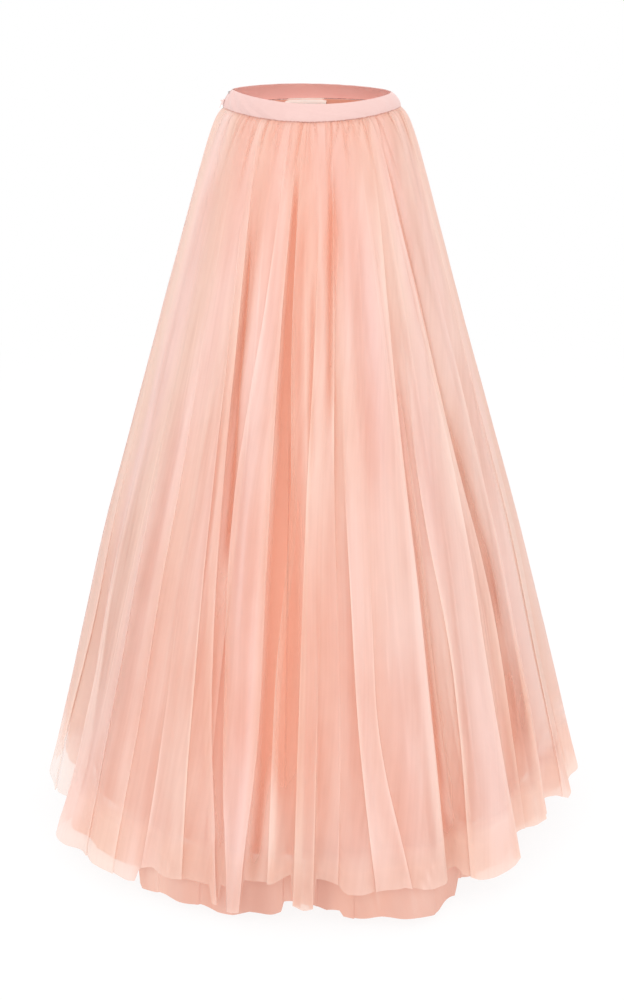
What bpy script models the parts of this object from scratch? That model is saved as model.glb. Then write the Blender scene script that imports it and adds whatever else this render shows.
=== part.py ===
"""Floor-length gathered tulle skirt on a shaped satin waistband, standing out as it is worn.

Metres, +Z up. The origin is the middle of the waist opening, midway between its front and back edges in height.
-Y is the centre front and -X the wearer's right side, where the zip is. Angles are in degrees round the body from
the centre front, growing towards +X.
"""
import math
from collections import namedtuple

import bmesh
import bpy
from mathutils import Matrix

# ---- driving dimensions -------------------------------------------------------------------------------------------
WAIST_HALF_WIDTH = 0.1190  # outside of the band's top edge, side to side
BAND_FOOT_HALF_WIDTH = 0.1335  # outside of the band's bottom edge
BAND_DROP = 0.0245  # height of the band
BAND_ROUNDING = 2.0  # 1 would make the band a plain cone
SLOPE_STEP = 0.0005  # over which the band's slope is taken
BAND_STEPS = 36  # along half of the band
BAND_RISES = 3  # down it
BAND_WALL = 0.0014
FACING_WALL = 0.0010
WAIST_DEPTH_SHARE = 0.76  # front-to-back size of the waist as a share of its width
HEM_DEPTH_SHARE = 0.955
ROUNDING_POWER = 2.2  # how soon on the way down the oval grows round
SKIRT_DROP = 1.136  # waist to hem, measured straight down
LINING_DROP = 1.072
WAIST_FRONT_DIP = 0.0033  # the waist is cut this much lower at the centre front, and higher at the back
HEM_FRONT_DIP = 0.029
DIP_POWER = 1.5
TOP_RISE = 0.0042  # the band's top edge stands this much higher at both sides,
TOP_TILT = 0.0020  # and this much more at the right side than at the left
FOOT_RISE = 0.0053  # the same at its bottom edge, which tilts the other way
FOOT_TILT = -0.0010
PINCH_RIGHT = 0.74  # how far the waist is drawn out to a corner at the right side; 1 would make a sharp lens
PINCH_LEFT = 0.55
WAIST_FADE = 0.20  # the drop at which the rise, the tilt and the pinch have died away
CLOTH_WALL = 0.0012
SEAM_GAP = 0.0003
SIDE = 90.0  # the side seams' angle
GATHERS_A_PANEL = 24
GATHER_UNEVENNESS = 0.5  # share of their height that the lowest gathers lack
GATHER_BEAT = 2.4  # how the low and high ones follow each other
CROWD_WIDE = 1.7  # degrees that the gathers are pushed along by, in two long swells and in five short ones
CROWD_NARROW = 1.1
SEAM_FLAT = 0.012  # share of the panel beside each side seam that has no folds
SEAM_EASE = 0.034  # share over which they then grow
OPENING_WIDTH = 0.0024  # slit between the band's ends, above the zip

# One row for each level that the cloth is drawn through. gather is the height of the small gathers there, and
# under_gap and lining_gap say how far the under tulle and the lining hang inside the outer tulle.
Level = namedtuple("Level", "drop half_width gather under_gap lining_gap")
LEVELS = [
    Level(0.0249, 0.1330, 0.0004, 0.0026, 0.0046),
    Level(0.0310, 0.1392, 0.0014, 0.0050, 0.0086),
    Level(0.0420, 0.1452, 0.0024, 0.0064, 0.0118),
    Level(0.0700, 0.1562, 0.0028, 0.0070, 0.0150),
    Level(0.1100, 0.1694, 0.0024, 0.0082, 0.0205),
    Level(0.1700, 0.1880, 0.0020, 0.0105, 0.0280),
    Level(0.2600, 0.2150, 0.0020, 0.0145, 0.0370),
    Level(0.3800, 0.2500, 0.0020, 0.0165, 0.0420),
    Level(0.5200, 0.2905, 0.0020, 0.0165, 0.0420),
    Level(0.6800, 0.3360, 0.0024, 0.0165, 0.0420),
    Level(0.8400, 0.3755, 0.0030, 0.0165, 0.0420),
    Level(1.0000, 0.4150, 0.0036, 0.0165, 0.0420),
    Level(SKIRT_DROP, 0.4480, 0.0042, 0.0165, 0.0420),
]
MIDDLE_DROP = 0.52  # where the folds' middle values hold
LAST_STEP = 0.02  # a level nearer the hem than this gives way to it

# One row for each deep fold: the angles of its valley at the waist, the middle and the hem, its half width in
# degrees, the drop where it starts, its depth at the middle and at the hem, and the share of its half width by
# which the valley's foot slides in under the fold beside it.
Fold = namedtuple("Fold", "waist middle hem half_width start middle_depth hem_depth lean")
FRONT_FOLDS = [
    Fold(-74, -73, -72, 6.5, 0.30, 0.008, 0.026, -0.4),
    Fold(-58, -57, -54, 4.5, 0.08, 0.006, 0.004, -0.4),
    Fold(-44, -40, -35, 5.0, 0.12, 0.006, 0.014, -0.4),
    Fold(-31, -26, -20, 5.0, 0.06, 0.021, 0.008, -0.6),
    Fold(-6, -10, -12, 4.8, 0.03, 0.022, 0.012, -0.6),
    Fold(-1, -4, -5, 3.4, 0.26, 0.012, 0.018, -0.5),
    Fold(11, 5, 1, 4.0, 0.04, 0.010, 0.018, -0.5),
    Fold(24, 18, 13, 4.0, 0.10, 0.006, 0.007, -0.4),
    Fold(33, 32, 30, 5.0, 0.12, 0.014, 0.026, -0.6),
    Fold(40, 52, 54, 5.5, 0.04, 0.020, 0.026, -0.6),
    Fold(60, 65, 70, 5.5, 0.20, 0.010, 0.024, -0.5),
    Fold(76, 79, 81, 4.5, 0.10, 0.006, 0.012, -0.4),
]
BACK_FOLDS = [
    Fold(100, 101, 101, 5.0, 0.10, 0.010, 0.018, -0.5),
    Fold(113, 115, 118, 6.0, 0.06, 0.018, 0.024, -0.6),
    Fold(130, 131, 131, 4.5, 0.16, 0.008, 0.012, -0.4),
    Fold(143, 145, 146, 5.5, 0.05, 0.020, 0.026, 0.5),
    Fold(159, 159, 160, 4.5, 0.10, 0.009, 0.016, -0.4),
    Fold(171, 173, 174, 5.0, 0.04, 0.019, 0.020, 0.6),
    Fold(187, 186, 187, 4.5, 0.20, 0.010, 0.018, -0.4),
    Fold(199, 201, 203, 6.0, 0.06, 0.020, 0.026, -0.6),
    Fold(217, 216, 218, 4.5, 0.12, 0.008, 0.014, 0.4),
    Fold(229, 231, 232, 5.5, 0.08, 0.016, 0.022, 0.5),
    Fold(246, 246, 247, 5.0, 0.06, 0.012, 0.020, -0.5),
    Fold(259, 259, 258, 4.0, 0.20, 0.006, 0.014, 0.4),
]

# One row for each broad swing of the hem that all the layers share: its angle, its half width in degrees and how
# far out it takes the hem.
Flare = namedtuple("Flare", "angle half_width hem")
FLARES = [
    Flare(-60, 18, 0.018),
    Flare(-35, 14, 0.005),
    Flare(20, 14, 0.021),
    Flare(61, 15, -0.022),
    Flare(112, 16, 0.012),
    Flare(152, 16, -0.012),
    Flare(184, 15, 0.014),
    Flare(222, 16, -0.010),
    Flare(248, 15, 0.012),
]
FLARE_POWER = 3.0  # how late the swings set in on the way down

# A sheet of cloth: the gap column that it hangs by, how much of the folds and gathers it takes, how much wider its
# folds are, its last drop, how many steps each half is drawn in, and which levels it uses.
Cloth = namedtuple("Cloth", "name gap fold_share widening gather_share hem steps levels")
CLOTHS = [
    Cloth("tulle_outer", None, 1.0, 1.0, 1.0, SKIRT_DROP, 96, LEVELS),
    Cloth("tulle_under", "under_gap", 0.75, 1.35, 0.0, SKIRT_DROP - 0.006, 48, LEVELS[0:3] + LEVELS[4::2]),
    Cloth("lining", "lining_gap", 0.0, 1.0, 0.0, LINING_DROP, 24, LEVELS[0:2] + LEVELS[3::3]),
]

LABEL_MIDDLE = 184.5  # the angle of its middle
LABEL_WIDTH = 0.070
LABEL_TOP_DROP = 0.0225
LABEL_HEIGHT = 0.024
LABEL_WALL = 0.0010
LABEL_STEPS = 12
LABEL_GAP = 0.0008  # between the label and the facing
LABEL_STAND_OFF = 0.0017  # between the label and the lining's top edge

WIRE_RADIUS = 0.0005  # hook and eye
HOOK_DROP = 0.0050
HOOK_REACH = 0.0080  # from the slit's middle to the hook's stitched end, on the front
HOOK_RISE_FROM = -0.0045  # the hook lifts between these places along the band
HOOK_RISE_TO = -0.0020
HOOK_TIP = 0.0044
HOOK_STEPS = 8
FALLING_STATIONS = 6  # of the band, which the hook and eye follow
EYE_MIDDLE = 0.0040
EYE_RADIUS = 0.0022

SLIDER_DROP = 0.0170  # where the pull tab's pin stands, measured down the band
SLIDER_SIZE = (0.0020, 0.0056, 0.0085)  # thickness, width, length
PIN_SIDES = 12
PIN_RADIUS = 0.00045
PIN_HEIGHT = 0.0018  # pin above the slider's face
EYE_CLEARANCE = 0.0003
KNUCKLE_SIDES = 16
KNUCKLE_RADIUS = 0.00135
KNUCKLE_WIDTH = 0.0022
CHEEK_WIDTH = 0.0008
CHEEK_LENGTH = 0.0022
CHEEK_ROOT = 0.0004  # how deep the cheeks stand in the slider
SLIDER_BELOW_PIN = 0.0010  # the slider's middle, down from the pin
TAB_WALL = 0.0008
TAB_REST_GAP = 0.0003  # between the tab and the slider's face
TAB_LENGTH = 0.0110
TAB_TOP_WIDTH = 0.0016
TAB_FOOT_RADIUS = 0.0025

# ---- colours ------------------------------------------------------------------------------------------------------
SATIN = (0.93, 0.66, 0.61)
FACING_SATIN = (0.78, 0.36, 0.30)
TULLE = (0.90, 0.60, 0.50)
UNDER_TULLE = (0.86, 0.52, 0.42)
LINING_SATIN = (0.80, 0.42, 0.31)
LABEL_CREAM = (0.84, 0.74, 0.64)
METAL = (0.62, 0.60, 0.58)
ZIP_ENAMEL = (0.92, 0.80, 0.76)


def clear_scene():
    for thing in list(bpy.data.objects):
        bpy.data.objects.remove(thing, do_unlink=True)


def material(name, colour, roughness, metallic=0.0):
    """A Principled material of one colour."""
    made = bpy.data.materials.new(name)
    made.use_nodes = True
    shader = made.node_tree.nodes["Principled BSDF"]
    shader.inputs["Base Color"].default_value = (*colour, 1.0)
    shader.inputs["Roughness"].default_value = roughness
    shader.inputs["Metallic"].default_value = metallic
    return made


# ---- the skirt's form ---------------------------------------------------------------------------------------------
def smooth(share):
    share = min(max(share, 0.0), 1.0)
    return share * share * (3.0 - 2.0 * share)


def mix(low, high, share):
    return low + (high - low) * share


def level_at(drop):
    """The row of LEVELS at a drop, with its values read straight between the rows above and below."""
    for above, below in zip(LEVELS, LEVELS[1:]):
        if drop <= below.drop:
            break
    share = min((drop - above.drop) / (below.drop - above.drop), 1.0)
    return Level(*(mix(high, low, share) for high, low in zip(above, below)))


def depth_share(drop):
    """Front-to-back size over width: oval at the waist, nearly round at the hem."""
    down = min(max(drop / SKIRT_DROP, 0.0), 1.0)
    return mix(WAIST_DEPTH_SHARE, HEM_DEPTH_SHARE, 1.0 - (1.0 - down) ** ROUNDING_POWER)


def waist_share(drop):
    """1 at the waist, and 0 where the cloth below no longer takes after it."""
    return 1.0 - smooth(drop / WAIST_FADE)


def height(angle, drop):
    """The centre front dips, the back stands higher, and the waist rises to both sides."""
    sine = math.sin(math.radians(angle))
    cosine = math.cos(math.radians(angle))
    dip = mix(WAIST_FRONT_DIP, HEM_FRONT_DIP, max(drop / SKIRT_DROP, 0.0) ** DIP_POWER)
    down_band = min(max(drop / BAND_DROP, 0.0), 1.0)
    rise = mix(TOP_RISE, FOOT_RISE, down_band) * sine**2 - mix(TOP_TILT, FOOT_TILT, down_band) * sine
    return -drop - dip * cosine + rise * waist_share(drop)


def place(angle, half_width, drop, outward=0.0):
    """A point on the oval of this half width, moved outward. The waist's oval is drawn out to corners."""
    sine = math.sin(math.radians(angle))
    cosine = math.cos(math.radians(angle))
    share = waist_share(drop)
    pinch = mix(PINCH_LEFT, PINCH_RIGHT, 0.5 - 0.5 * sine) * share
    half_depth = half_width * depth_share(drop)
    square_x = half_depth * (1.0 - pinch + 2.0 * pinch * abs(cosine)) * sine
    square_y = -half_width * cosine
    size = math.hypot(square_x, square_y)
    out_x = outward * mix(sine, square_x / size, share)
    out_y = outward * mix(-cosine, square_y / size, share)
    y = -half_depth * cosine * (1.0 - pinch + pinch * abs(cosine))
    return (half_width * sine + out_x, y + out_y, height(angle, drop))


def fold_angle(fold, drop):
    """Where the fold's valley is at this drop: a curve through its three angles."""
    if drop < MIDDLE_DROP:
        return mix(fold.waist, fold.middle, math.sin(0.5 * math.pi * drop / MIDDLE_DROP))
    return mix(fold.middle, fold.hem, (drop - MIDDLE_DROP) / (SKIRT_DROP - MIDDLE_DROP))


def fold_depth(fold, drop):
    if drop < MIDDLE_DROP:
        return fold.middle_depth * smooth((drop - fold.start) / (MIDDLE_DROP - fold.start))
    return mix(fold.middle_depth, fold.hem_depth, smooth((drop - MIDDLE_DROP) / (SKIRT_DROP - MIDDLE_DROP)))


def folded(angle, drop, folds, widening):
    """The angle and the inward depth that the deep folds give to a point of the sheet."""
    slide = 0.0
    depth = 0.0
    for fold in folds:
        across = (angle - fold_angle(fold, drop)) / (fold.half_width * widening)
        if abs(across) >= 1.0:
            continue
        bump = (1.0 - across * across) ** 2
        size = fold_depth(fold, drop)
        depth += size * bump
        slide += fold.lean * fold.half_width * bump * min(size / fold.middle_depth, 1.0)
    return angle + slide, depth


def flared(angle, drop):
    """How far the hem's broad swings take the cloth out at this drop."""
    out = 0.0
    for flare in FLARES:
        across = (angle - flare.angle) / flare.half_width
        if abs(across) < 1.0:
            out += flare.hem * (1.0 - across * across) ** 2
    return out * (drop / SKIRT_DROP) ** FLARE_POWER


def gathered(across):
    """Height of the small gathers, from -1 to 1, at a share across the panel: ridges of uneven height."""
    gather = across * GATHERS_A_PANEL
    height = 1.0 - GATHER_UNEVENNESS * (0.5 - 0.5 * math.sin(GATHER_BEAT * gather))
    return height * math.cos(2.0 * math.pi * gather)


def crowded(across):
    """Degrees by which the gathers crowd together and spread, none at the side seams."""
    return CROWD_WIDE * math.sin(4.0 * math.pi * across) - CROWD_NARROW * math.sin(10.0 * math.pi * across)


def cloth_point(cloth, across, first_angle, drop, folds):
    level = level_at(drop)
    angle = first_angle + across * 2.0 * SIDE + crowded(across)
    angle, depth = folded(angle, drop, folds, cloth.widening)
    # The cloth lies smooth along its side seams.
    seam = smooth((min(across, 1.0 - across) - SEAM_FLAT) / SEAM_EASE)
    outward = cloth.gather_share * level.gather * mix(1.0, gathered(across), seam)
    outward -= cloth.fold_share * depth * seam
    outward += flared(angle, drop)
    if cloth.gap:
        outward -= getattr(level, cloth.gap)
    return place(angle, level.half_width, drop, outward)


# ---- sheets -------------------------------------------------------------------------------------------------------
def sheet(name, rows, wall, worn):
    """A cloth wall: the rows of points make its outer face, and Solidify thickens it inward."""
    shape = bmesh.new()
    grid = [[shape.verts.new(point) for point in row] for row in rows]
    for upper, lower in zip(grid, grid[1:]):
        for column in range(len(upper) - 1):
            shape.faces.new((upper[column], lower[column], lower[column + 1], upper[column + 1]))
    mesh = bpy.data.meshes.new(name)
    shape.to_mesh(mesh)
    shape.free()
    mesh.shade_smooth()
    piece = bpy.data.objects.new(name, mesh)
    mesh.materials.append(worn)
    solid = piece.modifiers.new("wall", "SOLIDIFY")
    solid.thickness = wall
    solid.offset = -1.0
    solid.use_even_offset = True
    return piece


def panel_shares(steps):
    return [step / steps for step in range(steps + 1)]


def end_at_seam(end, next_one, back, gap):
    """The end of a row, half the gap off the seam's plane Y = 0 and no further out than its neighbour."""
    return (next_one[0], max(end[1], 0.5 * gap) if back else min(end[1], -0.5 * gap), end[2])


def cloth_panel(cloth, back, worn):
    """The front or back panel of one layer, from side seam to side seam."""
    first_angle = SIDE if back else -SIDE
    folds = BACK_FOLDS if back else FRONT_FOLDS
    drops = [level.drop for level in cloth.levels if level.drop < cloth.hem - LAST_STEP] + [cloth.hem]
    rows = []
    for drop in drops:
        row = [cloth_point(cloth, across, first_angle, drop, folds) for across in panel_shares(cloth.steps)]
        row[0] = end_at_seam(row[0], row[1], back, SEAM_GAP)
        row[-1] = end_at_seam(row[-1], row[-2], back, SEAM_GAP)
        rows.append(row)
    return sheet(f"{cloth.name}_{'back' if back else 'front'}", rows, CLOTH_WALL, worn)


# ---- waistband ----------------------------------------------------------------------------------------------------
def band_half_width(drop):
    """The outside of the band, which rounds out from the waist over the hips."""
    down = min(max(drop / BAND_DROP, 0.0), 1.0)
    return mix(WAIST_HALF_WIDTH, BAND_FOOT_HALF_WIDTH, 1.0 - (1.0 - down) ** BAND_ROUNDING)


def band_slope(drop):
    """The angle that the band's side makes with the vertical."""
    rise = band_half_width(drop + SLOPE_STEP) - band_half_width(drop - SLOPE_STEP)
    return math.atan2(rise, 2.0 * SLOPE_STEP)


def in_from_band(angle, drop, inset):
    """A point set in square to the band's face."""
    slope = band_slope(drop)
    x, y, z = place(angle, band_half_width(drop), drop, -inset * math.cos(slope))
    return (x, y, z - inset * math.sin(slope))


def band_panel(name, back, inset, wall, gap, worn):
    """Half of the band, set in square to its face, with its end at the closure half the gap from the middle."""
    first_angle = SIDE if back else -SIDE
    rows = []
    angles = [first_angle + across * 2.0 * SIDE for across in panel_shares(BAND_STEPS)]
    first_gap, last_gap = (SEAM_GAP, gap) if back else (gap, SEAM_GAP)
    for share in panel_shares(BAND_RISES):
        row = [in_from_band(angle, BAND_DROP * share, inset) for angle in angles]
        row[0] = end_at_seam(row[0], row[1], back, first_gap)
        row[-1] = end_at_seam(row[-1], row[-2], back, last_gap)
        rows.append(row)
    return sheet(name, rows, wall, worn)


def brand_label(worn):
    """A bare woven label that starts on the back facing, clears the lining's top edge and hangs below it."""
    on_facing = BAND_WALL + SEAM_GAP + FACING_WALL + LABEL_GAP
    past_lining = LEVELS[0].lining_gap + CLOTH_WALL + LABEL_STAND_OFF
    spread = math.degrees(0.5 * LABEL_WIDTH / BAND_FOOT_HALF_WIDTH)
    rows = []
    for drop, inset in (
        (LABEL_TOP_DROP, on_facing),
        (LEVELS[0].drop, past_lining),
        (LABEL_TOP_DROP + LABEL_HEIGHT, past_lining),
    ):
        angles = [LABEL_MIDDLE + spread * (2.0 * across - 1.0) for across in panel_shares(LABEL_STEPS)]
        rows.append([in_from_band(angle, drop, inset) for angle in angles])
    return sheet("label", rows, LABEL_WALL, worn)


# ---- closure ------------------------------------------------------------------------------------------------------
def band_station(number, drop):
    """The band's outer face this many steps forward of the slit; between the first steps it lies flat."""
    return place(number * 2.0 * SIDE / BAND_STEPS - SIDE, band_half_width(drop), drop)


def side_frame(drop):
    """At the right side: a point on the band's face, and the directions outward from it and down along it."""
    slope = band_slope(drop)
    outward = (-math.cos(slope), 0.0, math.sin(slope))
    downward = (-math.sin(slope), 0.0, -math.cos(slope))
    return (band_station(1, drop)[0], 0.0, height(-SIDE, drop)), outward, downward


def off_side(drop, out, along, down=0.0):
    """A point out from the band's face at the right side, along +Y and further down the face."""
    foot, outward, downward = side_frame(drop)
    return (
        foot[0] + out * outward[0] + down * downward[0],
        along,
        foot[2] + out * outward[2] + down * downward[2],
    )


def wire(name, points, worn):
    curve = bpy.data.curves.new(name, "CURVE")
    curve.dimensions = "3D"
    curve.bevel_depth = WIRE_RADIUS
    curve.bevel_resolution = 2
    curve.use_fill_caps = True
    run = curve.splines.new("POLY")
    run.points.add(len(points) - 1)
    for knot, point in zip(run.points, points):
        knot.co = (*point, 1.0)
    piece = bpy.data.objects.new(name, curve)
    curve.materials.append(worn)
    return piece


def band_falls_away(along):
    """How far the band falls back from its flat part, square to its slope, this far along from the slit."""
    stations = [band_station(number, HOOK_DROP) for number in range(1, FALLING_STATIONS)]
    fallen = 0.0
    for near, far in zip(stations, stations[1:]):
        share = (abs(along) + near[1]) / (near[1] - far[1])
        fallen += (far[0] - near[0]) * min(max(share, 0.0), 1.0)
    return fallen * math.cos(band_slope(HOOK_DROP))


def hook_and_eye(worn):
    """A wire hook on the band's front end, which reaches over the slit and over the eye on its back end."""
    lift = WIRE_RADIUS + SEAM_GAP
    over = lift + 2.0 * WIRE_RADIUS + SEAM_GAP
    hook_points = []
    for share in panel_shares(HOOK_STEPS):
        along = mix(-HOOK_REACH, HOOK_TIP, share)
        raised = smooth((along - HOOK_RISE_FROM) / (HOOK_RISE_TO - HOOK_RISE_FROM))
        hook_points.append(off_side(HOOK_DROP, mix(lift, over, raised) - band_falls_away(along), along))
    eye_points = []
    for turn in range(-120, 121, 20):
        along = EYE_MIDDLE - EYE_RADIUS * math.cos(math.radians(turn))
        down = EYE_RADIUS * math.sin(math.radians(turn))
        eye_points.append(off_side(HOOK_DROP, lift - band_falls_away(along), along, down))
    return wire("hook", hook_points, worn), wire("eye", eye_points, worn)


def block(size, centre):
    made = bmesh.new()
    bmesh.ops.create_cube(made, size=1.0)
    bmesh.ops.scale(made, vec=size, verts=made.verts)
    bmesh.ops.translate(made, vec=centre, verts=made.verts)
    return made


def rod_along_y(radius, length, segments):
    made = bmesh.new()
    bmesh.ops.create_cone(
        made, cap_ends=True, segments=segments, radius1=radius, radius2=radius, depth=length
    )
    upright_to_y = Matrix.Rotation(math.radians(90.0), 3, "X")
    bmesh.ops.rotate(made, cent=(0, 0, 0), matrix=upright_to_y, verts=made.verts)
    return made


def as_object(name, made, collection):
    mesh = bpy.data.meshes.new(name)
    made.to_mesh(mesh)
    made.free()
    piece = bpy.data.objects.new(name, mesh)
    collection.objects.link(piece)
    return piece


def boolean(target, tool, operation):
    change = target.modifiers.new(operation.lower(), "BOOLEAN")
    change.operation = operation
    change.object = tool
    tool.hide_render = True
    tool.display_type = "WIRE"


def tab_plate():
    """The pull tab's flat drop, which lies on the slider: narrow at the pin, round at the foot."""
    foot_centre = TAB_FOOT_RADIUS - TAB_LENGTH
    outline = [(-0.5 * TAB_TOP_WIDTH, 0.0), (0.5 * TAB_TOP_WIDTH, 0.0)]
    for turn in range(20, -201, -20):
        across = TAB_FOOT_RADIUS * math.cos(math.radians(turn))
        outline.append((across, foot_centre + TAB_FOOT_RADIUS * math.sin(math.radians(turn))))
    plate = bmesh.new()
    underside = TAB_REST_GAP - PIN_HEIGHT
    flat = plate.faces.new([plate.verts.new((underside, across, down)) for across, down in outline])
    raised = bmesh.ops.extrude_face_region(plate, geom=[flat])["geom"]
    raised_points = [part for part in raised if isinstance(part, bmesh.types.BMVert)]
    bmesh.ops.translate(plate, vec=(TAB_WALL, 0, 0), verts=raised_points)
    bmesh.ops.recalc_face_normals(plate, faces=plate.faces)
    return plate


def zip_slider_and_tab(collection, cutters, enamel):
    """The slider at the top of the side zip and its pull tab, drawn flat about the pin and then set on the band.

    Drawn with +X out from the band, +Y along it and -Z down it, the pin on the origin.
    """
    thick, wide, long = SLIDER_SIZE
    face = -PIN_HEIGHT
    body = block((thick, wide, long), (face - 0.5 * thick, 0, -SLIDER_BELOW_PIN))
    slider = as_object("zip_slider", body, collection)
    cheek_middle = 0.5 * KNUCKLE_WIDTH + EYE_CLEARANCE + 0.5 * CHEEK_WIDTH
    cheek_height = CHEEK_ROOT + PIN_HEIGHT + PIN_RADIUS
    for name, side in (("cheek_front", -1), ("cheek_back", 1)):
        cheek_centre = (face - CHEEK_ROOT + 0.5 * cheek_height, side * cheek_middle, 0)
        cheek = block((cheek_height, CHEEK_WIDTH, CHEEK_LENGTH), cheek_centre)
        boolean(slider, as_object(name, cheek, cutters), "UNION")
    pin = rod_along_y(PIN_RADIUS, 2.0 * cheek_middle, PIN_SIDES)
    boolean(slider, as_object("pin", pin, cutters), "UNION")
    slider.data.materials.append(enamel)

    tab = as_object("zip_pull_tab", tab_plate(), collection)
    knuckle = rod_along_y(KNUCKLE_RADIUS, KNUCKLE_WIDTH, KNUCKLE_SIDES)
    boolean(tab, as_object("knuckle", knuckle, cutters), "UNION")
    hole = rod_along_y(PIN_RADIUS + EYE_CLEARANCE, 3.0 * KNUCKLE_WIDTH, KNUCKLE_SIDES)
    boolean(tab, as_object("pin_hole", hole, cutters), "DIFFERENCE")
    tab.data.materials.append(enamel)

    foot, outward, _ = side_frame(SLIDER_DROP)
    out = 2.0 * SEAM_GAP + thick + PIN_HEIGHT
    pivot = bpy.data.objects.new("zip_pin", None)
    pivot.location = (foot[0] + out * outward[0], 0.0, foot[2] + out * outward[2])
    # Turned half round so that +X points to the wearer's right, then tipped to the band's slope.
    pivot.rotation_euler = (0.0, -math.atan2(outward[2], -outward[0]), math.pi)
    collection.objects.link(pivot)
    for piece in (slider, tab, *cutters.objects):
        piece.parent = pivot


# ---- the whole ----------------------------------------------------------------------------------------------------
def build():
    clear_scene()
    collection = bpy.data.collections.new("tulle_skirt")
    cutters = bpy.data.collections.new("cutters")
    for made in (collection, cutters):
        bpy.context.scene.collection.children.link(made)

    satin = material("band_satin", SATIN, 0.45)
    facing_satin = material("facing_satin", FACING_SATIN, 0.5)
    metal = material("hook_metal", METAL, 0.3, 1.0)
    enamel = material("zip_enamel", ZIP_ENAMEL, 0.35)
    facing_inset = BAND_WALL + SEAM_GAP
    pieces = [
        band_panel("waistband_front", False, 0.0, BAND_WALL, OPENING_WIDTH, satin),
        band_panel("waistband_back", True, 0.0, BAND_WALL, OPENING_WIDTH, satin),
        band_panel("band_facing_front", False, facing_inset, FACING_WALL, SEAM_GAP, facing_satin),
        band_panel("band_facing_back", True, facing_inset, FACING_WALL, SEAM_GAP, facing_satin),
        brand_label(material("label_cream", LABEL_CREAM, 0.7)),
    ]
    worn = {
        "tulle_outer": material("outer_tulle", TULLE, 0.85),
        "tulle_under": material("under_tulle", UNDER_TULLE, 0.85),
        "lining": material("lining_satin", LINING_SATIN, 0.6),
    }
    for cloth in CLOTHS:
        for back in (False, True):
            pieces.append(cloth_panel(cloth, back, worn[cloth.name]))
    pieces.extend(hook_and_eye(metal))
    for piece in pieces:
        collection.objects.link(piece)
    zip_slider_and_tab(collection, cutters, enamel)


build()
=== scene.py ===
"""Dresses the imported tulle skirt: sheer net plies with crisp pleats over a satin lining, and a satin
waistband.

Sizes are in metres unless a comment says millimetres, in the part's own frame: +Z up, -Y the centre
front, -X the side with the zip. Angles are in degrees round the body from the centre front, growing
towards +X, and a drop is measured down from the waist.
"""
import math
from collections import namedtuple

import bpy
import numpy as np
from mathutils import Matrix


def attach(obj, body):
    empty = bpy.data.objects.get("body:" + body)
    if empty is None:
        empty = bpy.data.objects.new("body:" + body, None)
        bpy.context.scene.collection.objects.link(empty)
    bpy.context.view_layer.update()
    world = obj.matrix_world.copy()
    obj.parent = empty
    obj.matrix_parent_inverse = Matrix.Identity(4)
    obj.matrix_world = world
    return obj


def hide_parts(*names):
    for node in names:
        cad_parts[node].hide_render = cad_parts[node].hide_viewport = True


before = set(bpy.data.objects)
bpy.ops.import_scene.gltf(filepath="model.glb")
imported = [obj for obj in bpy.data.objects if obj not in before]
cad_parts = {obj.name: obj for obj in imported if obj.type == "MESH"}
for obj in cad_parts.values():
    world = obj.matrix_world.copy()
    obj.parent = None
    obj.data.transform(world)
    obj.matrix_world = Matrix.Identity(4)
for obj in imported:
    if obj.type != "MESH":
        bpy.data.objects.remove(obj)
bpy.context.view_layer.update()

MM = 0.001
HALVES = ("front", "back")

# ---- sizes, the same as the part's ----
WAIST_HALF_WIDTH = 0.1190
BAND_FOOT_HALF_WIDTH = 0.1335
BAND_DROP = 0.0245
BAND_ROUNDING = 2.0
SLOPE_STEP = 0.0005
BAND_WALL = 0.0014
WAIST_DEPTH_SHARE = 0.76
HEM_DEPTH_SHARE = 0.955
ROUNDING_POWER = 2.2
SKIRT_DROP = 1.136
UNDER_DROP = SKIRT_DROP - 0.006
LINING_DROP = 1.072
WAIST_FRONT_DIP = 0.0033
HEM_FRONT_DIP = 0.029
DIP_POWER = 1.5
TOP_RISE = 0.0042
TOP_TILT = 0.0020
FOOT_RISE = 0.0053
FOOT_TILT = -0.0010
PINCH_RIGHT = 0.74
PINCH_LEFT = 0.55
WAIST_FADE = 0.20
SEAM_GAP = 0.0003
SIDE = 90.0
GATHERS_A_PANEL = 24
OPENING_WIDTH = 0.0024

# The cloth's size level by level: its drop, half width, the height of its small gathers, and how far the
# under net and the lining hang inside it.
DROPS = np.array([0.0249, 0.031, 0.042, 0.07, 0.11, 0.17, 0.26, 0.38, 0.52, 0.68, 0.84, 1.0, SKIRT_DROP])
HALF_WIDTHS = np.array(
    [0.1330, 0.1392, 0.1452, 0.1562, 0.1694, 0.188, 0.215, 0.25, 0.2905, 0.336, 0.3755, 0.415, 0.448]
)
GATHERS = np.array([0.4, 1.4, 2.2, 2.2, 1.7, 1.0, 0.7, 0.6, 0.6, 0.7, 0.9, 1.1, 1.3]) * MM
UNDER_GAPS = np.array([2.6, 5.0, 6.4, 7.0, 8.2, 10.5, 14.5, 16.5, 16.5, 16.5, 16.5, 16.5, 16.5]) * MM
LINING_GAPS = np.array([4.6, 8.6, 11.8, 15.0, 20.5, 28.0, 37.0, 42.0, 42.0, 42.0, 42.0, 42.0, 42.0]) * MM
MIDDLE_DROP = 0.52

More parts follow.
